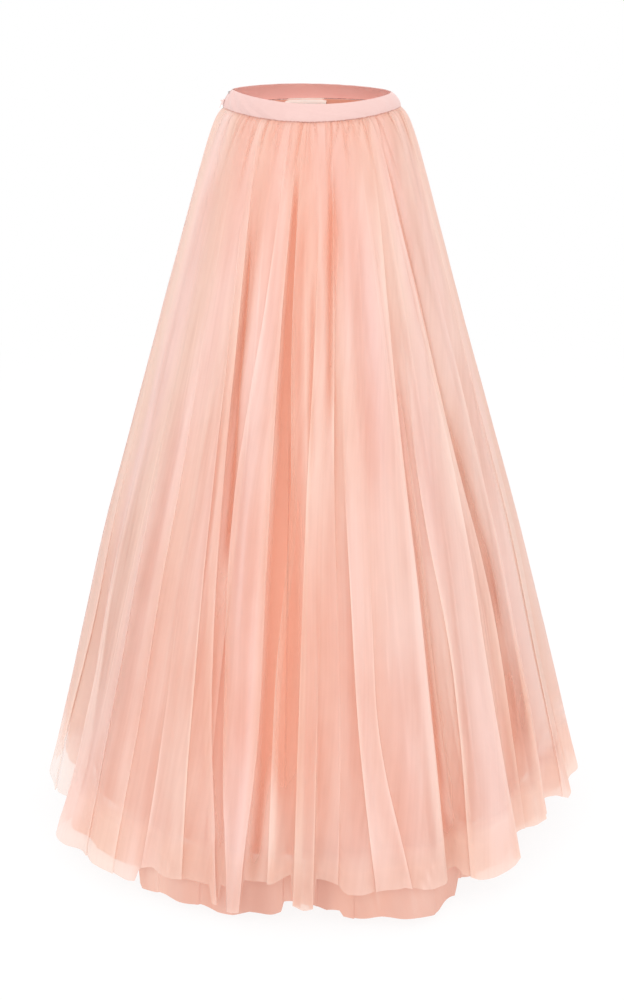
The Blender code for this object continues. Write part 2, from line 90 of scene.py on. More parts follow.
# Soft valleys between the pleats: the angles of their foot at the waist, the middle and the hem, their half
# width in degrees, the drop where they start, and their depth in millimetres at the middle and at the hem.
Fold = namedtuple("Fold", "waist middle hem half_width start middle_depth hem_depth")
FOLDS = [Fold(*row) for row in (
    (-74, -72, -70.5, 6.5, 0.3, 7, 36), (-58, -57, -54, 4.5, 0.08, 6, 4),
    (-44, -40, -35, 5, 0.12, 6, 10), (-30, -24, -20, 5.5, 0.06, 15, 6),
    (-7, -9.5, -12, 4.2, 0.03, 14, 8), (-1, -4, -5, 3.4, 0.26, 8, 12),
    (10, 6, 2, 4, 0.04, 8, 12), (24, 18, 13, 4, 0.1, 6, 7),
    (33, 32, 31, 4.5, 0.12, 10, 22), (41, 53, 53, 5, 0.04, 10, 18),
    (60, 65, 67, 5, 0.2, 8, 28), (76, 79, 82, 3.5, 0.1, 4, 6),
    (100, 101, 101, 5, 0.1, 10, 14), (113, 115, 118, 6, 0.06, 14, 18),
    (130, 131, 131, 4.5, 0.16, 8, 10), (143, 145, 146, 5.5, 0.05, 15, 18),
    (159, 159, 160, 4.5, 0.1, 8, 12), (171, 173, 174, 5, 0.04, 15, 14),
    (187, 186, 187, 4.5, 0.2, 9, 14), (199, 201, 203, 6, 0.06, 16, 18),
    (217, 216, 218, 4.5, 0.12, 7, 10), (229, 231, 232, 5.5, 0.08, 13, 16),
    (246, 246, 247, 5, 0.06, 10, 14), (259, 259, 258, 4, 0.2, 6, 10),
)]
# Where the hem kicks out or in: how many millimetres, and the power of the drop with which that grows.
Flare = namedtuple("Flare", "angle half_width hem power")
FLARES = [Flare(*row) for row in (
    (-84, 7, 9, 9), (-61.5, 7, 20, 14), (-52, 13, 12, 3), (-35, 14, 5, 3),
    (20, 14, 21, 3), (57, 13, -7, 3), (76, 5, 6, 9), (86, 8, 13, 4),
    (112, 16, 12, 3), (152, 16, -12, 3), (184, 15, 14, 3), (222, 16, -10, 3),
    (248, 15, 12, 3),
)]

# ---- pleats ----
# A pleat is a place where the net turns back under itself and leaves a crisp edge. at holds the edge's
# angle at the drops of PLEAT_DROPS, toward is 1 where the edge points to larger angles and -1 the other
# way, width is the depth of the tuck in degrees, fullness says how far it doubles back at each of the drops
# (it overlaps above 0.67), step and hem_step are how many millimetres it takes the cloth in, recover is
# over how many degrees that dies away, and hang, for the back, is how many millimetres longer than the drop
# the cloth after it hangs at the hem.
PLEAT_DROPS = np.array([0.06, 0.30, 0.54, 0.82, SKIRT_DROP])
Pleat = namedtuple("Pleat", "at toward width fullness step hem_step recover hang", defaults=(0,))
FIRST_HANG = -2
OUTER_FRONT = [Pleat(*row) for row in (
    ((-78, -77, -76, -76, -77), 1, 1.4, (0, 0.2, 0.6, 1, 1.4), 3, 6, 5),
    ((-67, -66, -65, -64, -67), -1, 1.5, (0, 0.2, 0.5, 0.8, 1.8), 3, 12, 6),
    ((-56, -55, -53, -52, -53), 1, 1.6, (0, 0.1, 0.5, 0.8, 0.9), 3, 3, 6),
    ((-46, -44, -42.5, -43, -44), 1, 1.6, (0, 0.2, 0.8, 0.9, 0.9), 3, 4, 6),
    ((-39, -37, -36, -36, -37), -1, 1.4, (0, 0, 0.2, 0.5, 1.7), 2, 8, 5),
    ((-35, -31.5, -30, -28.8, -27), 1, 1.2, (0.2, 0.6, 1.1, 1.3, 1.2), 3, 3, 5),
    ((-31.5, -28.8, -27.2, -24.8, -19.3), 1, 2, (0.4, 1.6, 2.1, 1.9, 1.8), 11, 7, 6),
    ((-14, -18.8, -24, -21.8, -17.2), -1, 2, (0.2, 1.4, 2, 1.3, 1.3), 10, 4, 6),
    ((-8.5, -11.6, -12.3, -12.1, -14.4), 1, 1.9, (0.5, 1.6, 2.1, 2.1, 1.9), 12, 10, 5),
    ((-6, -7.6, -6.2, -8.8, -9), -1, 1.6, (0.3, 1.4, 2, 1.8, 1.7), 9, 8, 5),
    ((4.5, 1.2, -1.6, -3, -3.9), -1, 1.6, (0.1, 0.9, 1.5, 1.8, 1.9), 6, 8, 4),
    ((8, 5, 3.4, 1.4, 0.2), 1, 1.3, (0.2, 0.2, 0.2, 0.6, 1.5), 3, 7, 3),
    ((11, 8.4, 6.6, 6.4, 5.2), 1, 1.8, (0.6, 1.7, 0.7, 0.4, 0.9), 8, 4, 5),
    ((14, 11.5, 9.6, 10.2, 12.6), -1, 1.4, (0, 0.1, 0.7, 1.6, 1.6), 3, 4, 5),
    ((22, 19, 16, 15, 19.5), 1, 1.3, (0.1, 0.2, 0.2, 1.1, 1.5), 3, 4, 5),
    ((34, 30.5, 28.6, 28, 28.3), 1, 1.8, (0.5, 0.9, 1.4, 1.9, 2), 10, 20, 7),
    ((37, 35, 33.6, 35.6, 34.2), -1, 1.6, (0, 0.2, 0.9, 1.6, 1.7), 5, 6, 4),
    ((39, 44, 48, 47.2, 48.4), 1, 1.6, (0.2, 0.4, 1.2, 1.5, 2), 6, 20, 7),
    ((41.5, 47.4, 52.5, 55.5, 55), 1, 1.8, (0.6, 1.7, 1.9, 1.4, 0.6), 10, 5, 6),
    ((58, 60, 62.5, 62, 61), 1, 1.5, (0.2, 0.6, 1.2, 1.5, 1.9), 6, 16, 6),
    ((70, 71, 72, 73, 71), -1, 1.5, (0.2, 0.4, 0.8, 1, 0.8), 4, 4, 4),
    ((79, 80, 80.5, 80, 76.5), 1, 1.5, (0.1, 0.3, 0.5, 0.6, 1.6), 3, 12, 6),
)]

# Streaks where the net is bunched and pale, partly with a painted highlight on the ridges, or stretched and
# thin so that the cloth behind shows through, with painted shade in the channels beside the pleats: the
# angles at PLEAT_DROPS, the half width in degrees, how pale (or, below 0, how thin and shaded), and where
# it starts and ends.
Streak = namedtuple("Streak", "at half_width pale start end")
FRONT_STREAKS = [Streak(*row) for row in (
    ((-30.5, -27.6, -25.9, -23.4, -19), 1.1, -1.5, 0.15, 0.66),
    ((-26, -24.6, -24.9, -22.6, -18.4), 2.4, -0.25, 0.1, 0.64),
    ((-29, -25, -23.6, -22.4, -18.2), 1, -0.55, 0.6, 1.12),
    ((-7.5, -9.6, -10.6, -10.9, -12.4), 1.3, -1.25, 0.08, 1.12),
    ((-6, -8.4, -8, -8.6, -10.4), 3, -0.6, 0.2, 0.96),
    ((-3, -5, -5, -6.2, -7.4), 2.4, -0.6, 0.12, 1),
    ((10, 7.2, 5.4, 5, 4), 1.5, -0.8, 0.06, 0.44),
    ((2, 0, -0.4, -1, -2), 1, -0.6, 0.2, 0.5),
    ((42.2, 48.8, 53.8, 57, 57), 1.2, -0.85, 0.04, 0.8),
    ((36, 32.8, 30.8, 31, 31), 1.6, -0.95, 0.36, 1.12),
    ((60, 61, 63.3, 63.6, 64), 1.3, -0.6, 0.55, 1.12),
    ((-12, -15, -19, -18.5, -16), 1.6, 0.3, 0.05, 0.95),
    ((-12, -13, -14.4, -14.4, -15.6), 1, 0.31, 0.3, 1.12),
    ((-4, -5.8, -4.6, -7.8, -8.6), 1, 0.31, 0.2, 1.08),
    ((3, 4, 0.6, -1.4, -2.4), 1.2, 0.28, 0.05, 1.12),
    ((16, 13.4, 11.2, 11.8, 14.2), 1.6, 0.28, 0.1, 1.1),
    ((26, 24, 22.4, 21.4, 22.6), 3.2, 0.28, 0.06, 0.8),
    ((33, 29, 27.2, 26.6, 26.9), 1.3, 0.31, 0.1, 1.12),
    ((40, 42, 43.6, 42.6, 42.4), 3.6, 0.31, 0.06, 1.12),
    ((46, 53, 60.2, 69, 72), 2.4, 0.15, 0.05, 1.05),
    ((-38, -33.6, -31.8, -30.6, -28.8), 1.2, 0.28, 0.25, 1.12),
    ((-47, -45.6, -44.2, -44.8, -46), 1.2, 0.24, 0.3, 1.05),
    ((-60, -58, -56.4, -55, -55), 2.2, 0.19, 0.15, 1),
    ((-72, -70, -68.5, -67.5, -66), 2.6, 0.19, 0.1, 0.95),
    ((-50, -50, -49, -48.6, -49), 2, -0.12, 0.25, 1.1),
    ((-64, -63, -61.6, -60.6, -60), 1.6, -0.12, 0.2, 1),
)]

# Wide soft areas where both plies are fuller and paler, or below 0 thinner and darker: the middle and half
# size of each, in degrees and metres of drop, and how much.
Area = namedtuple("Area", "angle half_angle drop half_drop pale")
AREAS = [Area(*row) for row in (
    (-66, 18, 0.36, 0.5, 0.3), (-50, 13, 0.3, 0.4, 0.42), (-60, 12, 0.98, 0.26, 0.42),
    (-36, 10, 0.4, 0.4, 0.22), (-21, 7, 0.34, 0.22, 0.5), (-3, 8, 0.36, 0.22, 0.22),
    (-3, 11, 0.84, 0.26, -0.4), (-19, 11, 0.76, 0.3, -0.34), (10, 7, 0.19, 0.12, -0.5),
    (-80, 15, 0.1, 0.26, 0.36), (49, 7, 0.48, 0.16, 0.35), (-52, 8, 0.62, 0.24, 0.3),
    (0, 6, 0.94, 0.16, -0.25), (-13, 6, 0.6, 0.22, -0.2), (24, 6, 0.8, 0.12, -0.2),
    (60, 7, 0.92, 0.12, -0.15), (-34, 9, 1.12, 0.07, 0.3), (22, 9, 1.12, 0.07, 0.2),
    (12, 9, 0.6, 0.26, 0.12), (25, 10, 0.24, 0.26, 0.26), (24, 10, 0.66, 0.5, 0.24),
    (40, 10, 0.26, 0.34, 0.48), (49, 9, 0.46, 0.3, 0.66), (34, 9, 0.6, 0.3, 0.32),
    (61, 8, 0.95, 0.15, -0.6), (44, 12, 0.9, 0.3, 0.26), (60, 10, 0.34, 0.34, 0.36),
    (73, 13, 0.62, 0.44, 0.36), (150, 26, 0.45, 0.45, 0.3), (196, 22, 0.6, 0.5, 0.24),
    (236, 24, 0.4, 0.45, 0.32), (116, 16, 0.9, 0.3, 0.22), (-7, 13, 0.62, 0.22, -0.26),
    (-18, 13, 0.87, 0.16, -0.16), (24, 8, 0.82, 0.13, -0.16), (-68, 24, 0.04, 0.12, 0.66),
    (-62, 9, 0.52, 0.14, 0.24), (-62, 8, 1.08, 0.06, 0.46), (-25, 5, 0.41, 0.12, 0.24),
    (37, 6, 0.42, 0.12, 0.3), (48, 6, 0.54, 0.12, 0.4), (-48, 5, 0.78, 0.11, 0.3),
    (61, 7, 0.87, 0.13, -0.2),
)]

# How many millimetres longer than its drop each ply of the front hangs at the hem, angle by angle. The
# strips of outer net that hang long between short ones, and the darker band of the plies below, follow from
# these.
OUTER_HEM = np.array([
    (-90, -2), (-76, 2), (-70, 6), (-64, 10), (-58, 13), (-52, 13), (-46, 9), (-40, 5), (-38.2, 4),
    (-37.6, -18), (-34, -30), (-29, -25), (-25, -30), (-21, -26), (-20.6, 2), (-19.3, 1), (-18.9, -28),
    (-17.5, -30), (-17.1, 6), (-14.5, 4), (-14, -44), (-9, -48), (-4.3, -52), (-3.9, -8), (0.2, -8),
    (0.7, -52), (5.6, -46), (6.4, -32), (12, -34), (18, -40), (24, -28), (32.4, -26), (32.9, -12),
    (34, -10), (36, -4), (40, 1), (44, 3), (48.4, 0), (49, -19), (54, -20), (60.6, -15), (66, -22),
    (70, -18), (73, -3), (76, 0), (90, -1),
])
UNDER_HEM = np.array([
    (-90, -45), (-76, -40), (-69, -12), (-60, 0), (-46, 2), (-39.6, 0), (-39, 34), (-30, 25), (-24, 25),
    (-20, 32), (-16.5, 29), (-13, 18), (-8, 20), (-6.4, 17), (-5.9, 2), (0.4, -2), (3, 12), (5.8, 14),
    (6.3, 23), (14, 20), (18, 23), (22, 28), (26, 30), (30, 36), (32.6, 36), (33.1, 4), (44, 5), (50, -10),
    (60, -12), (70, -16), (76, -4), (90, -6),
])
# Between these angles the plies below hang longer than the outer net and show as a darker band at the hem,
# darkened partly by painted shade.
LONG_BELOW = ((-39.0, 32.9), (124.0, 168.0), (198.0, 238.0))


def wandering(draw, size):
    """A random walk over the drops of PLEAT_DROPS, from 0 at the first."""
    return np.cumsum(np.concatenate([[0.0], size * draw.randn(len(PLEAT_DROPS) - 1)]))


def made_up_pleats(first, last, count, seed, fullest, step, hem_fullness=1.0):
    """Pleats of uneven width between two angles, flatter at both ends, for the plies that aren't drawn one
    by one."""
    draw = np.random.RandomState(seed)
    room = (last - first) / count
    pleats = []
    for number in range(count):
        at = first + room * (number + 0.5 + 0.5 * (draw.rand() - 0.5))
        drift = np.clip(wandering(draw, 0.16 * room), -0.3 * room, 0.3 * room)
        toward = 1 if draw.rand() < 0.6 else -1
        begin = draw.randint(0, 3)
        full = fullest * (0.35 + 0.65 * min(1.0, min(at - first, last - at) / 14.0))
        fullness = [0.0] * begin + [full * (0.55 + 0.45 * draw.rand()) for _ in PLEAT_DROPS[begin:]]
        fullness[0] = min(fullness[0], 0.5)
        fullness[-1] *= hem_fullness
        width = min(0.16 * room, 2.1) * (0.75 + 0.5 * draw.rand())
        depth = step * (0.6 + 0.6 * draw.rand())
        hem_depth = step * (0.8 + 0.9 * draw.rand())
        hang = 20.0 * (draw.rand() - 0.5)
        if first > SIDE and any(left < at < right for left, right in LONG_BELOW):
            hang -= 26.0
        pleats.append(Pleat(at + drift, toward, width, fullness, depth, hem_depth, 0.6 * room, hang))
    return pleats


def made_up_streaks(first, last, count, seed):
    """Pale and thin streaks of uneven width between two angles, one after the other."""
    draw = np.random.RandomState(seed)
    room = (last - first) / count
    streaks = []
    for number in range(count):
        at = first + room * (number + 0.5 + 0.5 * (draw.rand() - 0.5))
        drift = wandering(draw, 0.2 * room)
        pale = (0.35 + 0.35 * draw.rand()) * (1 if number % 2 else -1)
        start = 0.05 + 0.35 * draw.rand()
        streaks.append(Streak(at + drift, room * (0.25 + 0.2 * draw.rand()), pale, start, 1.10))
    return streaks


OUTER_BACK = made_up_pleats(93.0, 267.0, 19, 5, 2.0, 9.0)
UNDER_FRONT = made_up_pleats(-86.0, 86.0, 17, 11, 1.6, 5.0, 0.35)
UNDER_BACK = made_up_pleats(94.0, 266.0, 17, 12, 1.6, 5.0, 0.35)
BACK_STREAKS = made_up_streaks(92.0, 268.0, 26, 7)
# The thinnest places of the outer net are thin in the net below it too, which carries their painted shade
# through both plies.
THINNEST_STREAKS = [streak for streak in FRONT_STREAKS if streak.pale < -0.52]
UNDER_STREAKS = made_up_streaks(-90.0, 270.0, 40, 8) + THINNEST_STREAKS


# ---- the skirt's form ----
def smooth(share):
    share = np.clip(share, 0.0, 1.0)
    return share * share * (3.0 - 2.0 * share)


def mix(low, high, share):
    return low + (high - low) * share


def blank(angle, drop):
    return np.zeros(np.broadcast(angle, drop).shape)


def bell(across):
    """1 at 0, dying away smoothly on both sides."""
    return np.exp(-across * across)


def hump(across):
    """1 at 0, falling smoothly to 0 at -1 and at 1."""
    return (1.0 - np.clip(across, -1.0, 1.0) ** 2) ** 2


def through(places, values, at):
    """A smooth curve through values at places, which doesn't overshoot them."""
    values = np.array(values, float)
    rise = np.diff(values) / np.diff(places)
    slope = np.zeros(len(values))
    both = rise[:-1] * rise[1:] > 0
    slope[1:-1][both] = 2.0 * rise[:-1][both] * rise[1:][both] / (rise[:-1] + rise[1:])[both]
    slope[0], slope[-1] = rise[0], rise[-1]
    at = np.clip(at, places[0], places[-1])
    left = np.clip(np.searchsorted(places, at, side="right") - 1, 0, len(places) - 2)
    span = (places[1:] - places[:-1])[left]
    share = (at - places[left]) / span
    low, high = values[left], values[left + 1]
    start, end = slope[left] * span, slope[left + 1] * span
    return (
        low * (1 + 2 * share) * (1 - share) ** 2
        + start * share * (1 - share) ** 2
        + high * share * share * (3 - 2 * share)
        + end * share * share * (share - 1)
    )


def depth_share(drop):
    down = np.clip(drop / SKIRT_DROP, 0.0, 1.0)
    return mix(WAIST_DEPTH_SHARE, HEM_DEPTH_SHARE, 1.0 - (1.0 - down) ** ROUNDING_POWER)


def height(angle, drop):
    """The centre front dips, the back stands higher, and the waist rises to both sides."""
    sine, cosine = np.sin(np.radians(angle)), np.cos(np.radians(angle))
    dip = mix(WAIST_FRONT_DIP, HEM_FRONT_DIP, np.maximum(drop / SKIRT_DROP, 0.0) ** DIP_POWER)
    down_band = np.clip(drop / BAND_DROP, 0.0, 1.0)
    rise = mix(TOP_RISE, FOOT_RISE, down_band) * sine**2 - mix(TOP_TILT, FOOT_TILT, down_band) * sine
    return -drop - dip * cosine + rise * (1.0 - smooth(drop / WAIST_FADE))


def place(angle, half_width, drop, outward=0.0):
    """Points on the oval of this half width, moved outward. The waist's oval is drawn out to corners at the
    sides."""
    sine, cosine = np.sin(np.radians(angle)), np.cos(np.radians(angle))
    share = 1.0 - smooth(drop / WAIST_FADE)
    pinch = mix(PINCH_LEFT, PINCH_RIGHT, 0.5 - 0.5 * sine) * share
    half_depth = half_width * depth_share(drop)
    square_x = half_depth * (1.0 - pinch + 2.0 * pinch * np.abs(cosine)) * sine
    square_y = -half_width * cosine
    size = np.hypot(square_x, square_y)
    x = half_width * sine + outward * mix(sine, square_x / size, share)
    y = -half_depth * cosine * (1.0 - pinch + pinch * np.abs(cosine))
    y = y + outward * mix(-cosine, square_y / size, share)
    return np.stack(np.broadcast_arrays(x, y, height(angle, drop)), axis=-1)


def fold_depth(angle, drop, widening=1.0):
    """How far in the soft valleys take the cloth at each angle and drop."""
    depth = blank(angle, drop)
    for fold in FOLDS:
        upper = mix(fold.waist, fold.middle, np.sin(0.5 * np.pi * np.clip(drop / MIDDLE_DROP, 0.0, 1.0)))
        lower = mix(fold.middle, fold.hem, (drop - MIDDLE_DROP) / (SKIRT_DROP - MIDDLE_DROP))
        valley = np.where(drop < MIDDLE_DROP, upper, lower)
        early = fold.middle_depth * smooth((drop - fold.start) / (MIDDLE_DROP - fold.start))
        down = smooth((drop - MIDDLE_DROP) / (SKIRT_DROP - MIDDLE_DROP))
        late = mix(fold.middle_depth, fold.hem_depth, down)
        size = np.where(drop < MIDDLE_DROP, early, late)
        depth += MM * size * hump((angle - valley) / (fold.half_width * widening))
    return depth


def flared(angle, drop):
    """How far out the hem kicks."""
    out = blank(angle, drop)
    for flare in FLARES:
        across = (angle - flare.angle) / flare.half_width
        out += MM * flare.hem * hump(across) * (drop / SKIRT_DROP) ** flare.power
    return out


RIPPLE_WAVES = 8


def ripples(angle, drop, seed, low, high, wander):
    """Soft uneven ridges down the cloth, with low to high waves round the body, about 1 high."""
    draw = np.random.RandomState(seed)
    out = blank(angle, drop)
    for _ in range(RIPPLE_WAVES):
        waves = draw.randint(low, high + 1)
        phase, lag = 2.0 * np.pi * draw.rand(2)
        turn = wander * np.sin(2.0 * np.pi * (0.5 + draw.rand()) * drop + lag)
        swing = 2.0 * np.pi * (0.5 + 1.2 * draw.rand()) * drop + phase
        swing = swing + np.radians((2.0 + 5.0 * draw.rand()) * angle)
        out += (0.5 + 0.5 * np.sin(swing)) * np.sin(waves * np.radians(angle) + phase + turn)
    return out / math.sqrt(0.4 * RIPPLE_WAVES)


# A pucker runs down from the waist seam: where it starts, how many degrees it leans over its length, its
# length in metres, its half width in degrees, which of its sides is the steep one, and its depth.
Pucker = namedtuple("Pucker", "at lean length width steep depth")
FRONT_PUCKERS = [Pucker(*row) for row in (
    (-74, -3, 0.07, 1.6, 1, 0.5), (-62, -4, 0.1, 1.6, 1, 0.6), (-50, -4, 0.14, 1.4, 1, 0.7),
    (-43, -2.5, 0.06, 1, -1, 0.5), (-37, -3, 0.18, 1.3, 1, 0.9), (-29, -2, 0.08, 1, 1, 0.7),
    (-24, -1, 0.05, 0.9, -1, 0.5), (-19.5, -3, 0.13, 1.1, 1, 0.8), (-12.5, -2, 0.17, 0.9, 1, 0.9),
    (-5.5, -6, 0.12, 1, -1, 1.5), (-1.5, -1, 0.11, 0.8, 1, 0.6), (3, 0.5, 0.06, 0.8, -1, 0.5),
    (8, -1, 0.11, 0.8, 1, 0.7), (12.5, -6, 0.15, 1, -1, 1.4), (18.5, 1, 0.1, 1, 1, 0.6),
    (26, 1.5, 0.06, 0.9, -1, 0.5), (33, 2, 0.13, 1.1, -1, 0.8), (39, 3, 0.07, 0.9, 1, 0.5),
    (45, 6, 0.14, 1, -1, 0.9), (57, 4, 0.09, 1.2, -1, 0.6), (64, 4, 0.06, 1.2, 1, 0.5),
    (71, 4, 0.13, 1.4, -1, 0.7), (-47, -5, 0.09, 0.8, -1, 0.8), (-34, -5, 0.11, 0.8, -1, 0.9),
    (-27, -5.5, 0.07, 0.8, -1, 0.9), (-20, -5, 0.06, 0.7, -1, 0.8), (17, -7, 0.055, 0.7, -1, 1),
    (24, -7, 0.05, 0.7, -1, 0.9), (31, -5.5, 0.045, 0.7, -1, 0.8), (38, -4, 0.04, 0.7, -1, 0.7),
)]


def made_up_puckers(first, last, count, seed):
    """Small puckers, one after the other between two angles."""
    draw = np.random.RandomState(seed)
    rows = []
    for number in range(count):
        at = first + (last - first) * (number + 0.9 * draw.rand()) / count
        length = 0.03 + 0.12 * draw.rand() ** 2
        steep = 1 if draw.rand() < 0.5 else -1
        lean, width, depth = 5.0 * (draw.rand() - 0.8), 0.5 + 0.6 * draw.rand(), 0.30 + 0.5 * draw.rand()
        rows.append(Pucker(at, lean, length, width, steep, depth))
    return rows


PUCKERS = FRONT_PUCKERS + made_up_puckers(-88.0, 88.0, 26, 27) + made_up_puckers(92.0, 268.0, 44, 26)


def puckered(angle, drop):
    """How deep the puckers under the waist seam are, up to about 1."""
    out = blank(angle, drop)
    for pucker in PUCKERS:
        below = (drop - DROPS[0]) / (0.8 * pucker.length)
        width = pucker.width * (1.0 + 0.5 * np.clip(below, 0.0, 1.0))
        across = pucker.steep * (angle - pucker.at - pucker.lean * below) / width
        slant = bell(across / np.where(across < 0.0, 0.35, 1.5))
        out += pucker.depth * smooth(below / 0.2 + 0.4) * (1.0 - smooth(below)) * slant
    return out


Crease = namedtuple("Crease", "at lean start length width pale")


def made_up_creases(count, seed):
    """Fine slanting creases all round: where each starts, how far it leans, its length, half width and
    paleness."""
    draw = np.random.RandomState(seed)
    rows = []
    for number in range(count):
        at = -90.0 + 360.0 * (number + draw.rand()) / count
        lean = 5.0 * (draw.rand() - 0.5)
        start = -0.05 + 0.85 * draw.rand()
        length = 0.20 + 0.50 * draw.rand()
        width = 0.16 + 0.30 * draw.rand() ** 2
        rows.append(Crease(at, lean, start, length, width, 0.06 + 0.80 * draw.rand() ** 2))
    return rows


HEM_CREASES = [Crease(*row) for row in (
    (9.5, 6, 1.085, 0.055, 0.45, 1),
    (25.5, -7, 1.06, 0.085, 0.5, 1),
    (1.8, -2, 1.07, 0.03, 0.4, 0.8),
    (-33, 8, 1.08, 0.04, 0.4, 0.7),
    (-10, 3, 1.09, 0.04, 0.4, 0.5),
)]


def creased(angle, drop, creases):
    """Each crease is a fine pale line with a soft thin shadow beside it."""
    out = blank(angle, drop)
    for crease in creases:
        along = (drop - crease.start) / crease.length
        spread = crease.width * (1.6 - 0.6 * np.clip(drop / 0.5, 0.0, 1.0))
        across = (angle - crease.at - crease.lean * along) / spread
        ends = smooth(along / 0.3) * (1.0 - smooth((along - 0.7) / 0.3))
        side = 1.0 if crease.lean > 0 else -1.0
        out += crease.pale * ends * (bell(across) - 0.55 * bell((across - 3.0 * side) / 2.6))
    return out


def streaked(angle, drop, streaks):
    """How pale, or below 0 how thin and how deep in painted shade, the named streaks make the cloth."""
    out = blank(angle, drop)
    for streak in streaks:
        across = (angle - through(PLEAT_DROPS, streak.at, drop)) / streak.half_width
        ends = smooth((drop - streak.start) / 0.10) * (1.0 - smooth((drop - streak.end + 0.08) / 0.10))
        out += streak.pale * ends * bell(across)
    return out


# ---- net ----
TUCK_GAP = 0.05  # degrees of cloth between two tucks at least


def turn_back(fullness):
    """Where a tuck turns back, from its middle, as a share of half its width."""
    return np.sqrt(np.clip(1.0 - 2.0 / (3.0 * np.maximum(fullness, 1e-6)), 0.0, 1.0))


def pleat_tables(pleats, drops):
    """For each drop and pleat: where its tuck starts and ends along the cloth, in degrees of cloth, and how
    much cloth it takes up."""
    starts = np.zeros((len(drops), len(pleats)))
    takes = np.zeros_like(starts)
    widths = np.array([pleat.width for pleat in pleats], float)
    for number, pleat in enumerate(pleats):
        fullness = np.maximum(through(PLEAT_DROPS, pleat.fullness, drops), 0.0)
        takes[:, number] = fullness * pleat.width
        turn = 0.5 - 0.5 * pleat.toward * turn_back(fullness)
        edge = through(PLEAT_DROPS, pleat.at, drops)
        starts[:, number] = edge - pleat.width * turn + takes[:, number] * smooth(turn)
    starts += np.cumsum(takes, axis=1) - takes
    for number in range(1, len(pleats)):
        ended = starts[:, number - 1] + widths[number - 1] + TUCK_GAP
        starts[:, number] = np.maximum(starts[:, number], ended)
    return starts, widths, takes


def columns_of(knots, coarse, fine):
    """Shares along the cloth for the columns of the grid, closer together inside the tucks."""
    spots = []
    for number, (left, right) in enumerate(zip(knots[:-1], knots[1:])):
        step = fine if number % 2 else coarse
        pieces = max(int(math.ceil((right - left) / step)), 2)
        spots.extend(np.linspace(number, number + 1, pieces, endpoint=False))
    return np.append(spots, len(knots) - 1)


# A ply: its columns in degrees of cloth, outside and inside the tucks, its drop and its rows, the seed of
# its draws, how strong its gathers and its waves are, how much wider and how deep its soft valleys are, how
# uneven its hem is, how many creases it has, how pale its pleats' rims are with their painted highlight and
# shadow, how far inside the outer net it hangs, and its hem in front.
Ply = namedtuple(
    "Ply", "coarse fine last rows seed gathers waves widening fold_share uneven creases rims gaps hem"
)
NO_GAPS = 0.0 * UNDER_GAPS
OUTER = Ply(0.33, 0.16, SKIRT_DROP, 88, 21, 1.0, 1.0, 1.0, 1.0, 0.0014, 120, 1.0, NO_GAPS, OUTER_HEM)
UNDER = Ply(0.5, 0.24, UNDER_DROP, 64, 41, 0.0, 0.8, 1.35, 0.75, 0.0016, 80, 0.6, UNDER_GAPS, UNDER_HEM)
LINING = Ply(1.0, 0.5, LINING_DROP, 48, 61, 0.0, 1.2, 1.0, 0.0, 0.0020, 0, 0.0, LINING_GAPS, None)
STEP_LIMIT = 0.009  # the pleats take the net in by less than this, which keeps it clear of the ply below
STEP_CHANGES = 0.85  # the drop from which a pleat's step turns into its hem_step
PUCKER_DEPTH = 0.0028
CREASE_DEPTH = 0.0008
BROAD_DEPTH, MIDDLING_DEPTH, NARROW_DEPTH = 0.0018, 0.0005, 0.00008  # of the three sizes of ripple


def long_below(angle):
    """1 where the plies below hang longer than the outer net, and 0 elsewhere."""
    share = np.zeros_like(angle)
    for left, right in LONG_BELOW:
        share = share + smooth((angle - left) / 1.2) * (1.0 - smooth((angle - right) / 1.2))
    return share


def wide_areas(angle, drop):
    """How pale, or below 0 how thin, the wide areas make the cloth."""
    out = blank(angle, drop)
    for area in AREAS:
        across, down = (angle - area.angle) / area.half_angle, (drop - area.drop) / area.half_drop
        out += area.pale * (1.0 - smooth(np.sqrt(across**2 + down**2)))
    return out


def tucked(first, pleats, drops, ply):
    """Lays the cloth of one ply in its pleats: each point's place along the cloth, its angle, how far in
    the pleats take it, how pale their rims make it with painted highlight and how dark with painted shadow,
    and how many millimetres longer it hangs."""
    starts, widths, takes = pleat_tables(pleats, drops)
    knots = np.empty((len(drops), 2 * len(pleats) + 2))
    knots[:, 0] = 0.0
    knots[:, 1:-1:2] = starts - first
    knots[:, 2:-1:2] = starts - first + widths
    knots[:, -1] = 2.0 * SIDE + takes.sum(axis=1)
    columns = columns_of(knots[len(drops) // 2], ply.coarse, ply.fine)
    cloth = np.stack([np.interp(columns, np.arange(knots.shape[1]), row) for row in knots])
    angle = cloth + first
    inward, rims = np.zeros_like(cloth), np.zeros_like(cloth)
    hang, previous = np.full_like(cloth, FIRST_HANG), FIRST_HANG
    for number, pleat in enumerate(pleats):
        past = cloth - (starts[:, number] - first)[:, None]
        share = past / widths[number]
        taken = takes[:, number][:, None]
        fullness = taken / widths[number]
        angle = angle - taken * smooth(share)
        if pleat.toward > 0:
            profile = smooth(share) * (1.0 - smooth((past - widths[number]) / pleat.recover))
        else:
            profile = smooth((past + pleat.recover) / pleat.recover) * (1.0 - smooth(share))
        grown = np.minimum(fullness, 1.0)
        step = np.interp(drops, [STEP_CHANGES, SKIRT_DROP], [pleat.step, pleat.hem_step])
        inward += MM * step[:, None] * grown * profile
        # The doubled edge is pale, with a painted highlight on the side that shows. The net that comes out
        # under it is thin, with a painted shadow of the edge.
        beside = (share - 0.5 + 0.5 * pleat.toward * turn_back(fullness)) * widths[number] * pleat.toward
        edge = bell(beside / 0.30) + 0.45 * np.exp(-np.abs(beside + 0.3) / 1.1) * (beside < 0)
        rims += ply.rims * grown**2 * (0.40 * edge - 0.22 * profile**2)
        hang += (pleat.hang - previous) * smooth(share)
        previous = pleat.hang
    scale = np.interp(drops, DROPS, UNDER_GAPS) / UNDER_GAPS.max()
    inward = STEP_LIMIT * (1.0 - np.exp(-inward / STEP_LIMIT)) * scale[:, None]
    return cloth, angle, inward, rims, hang


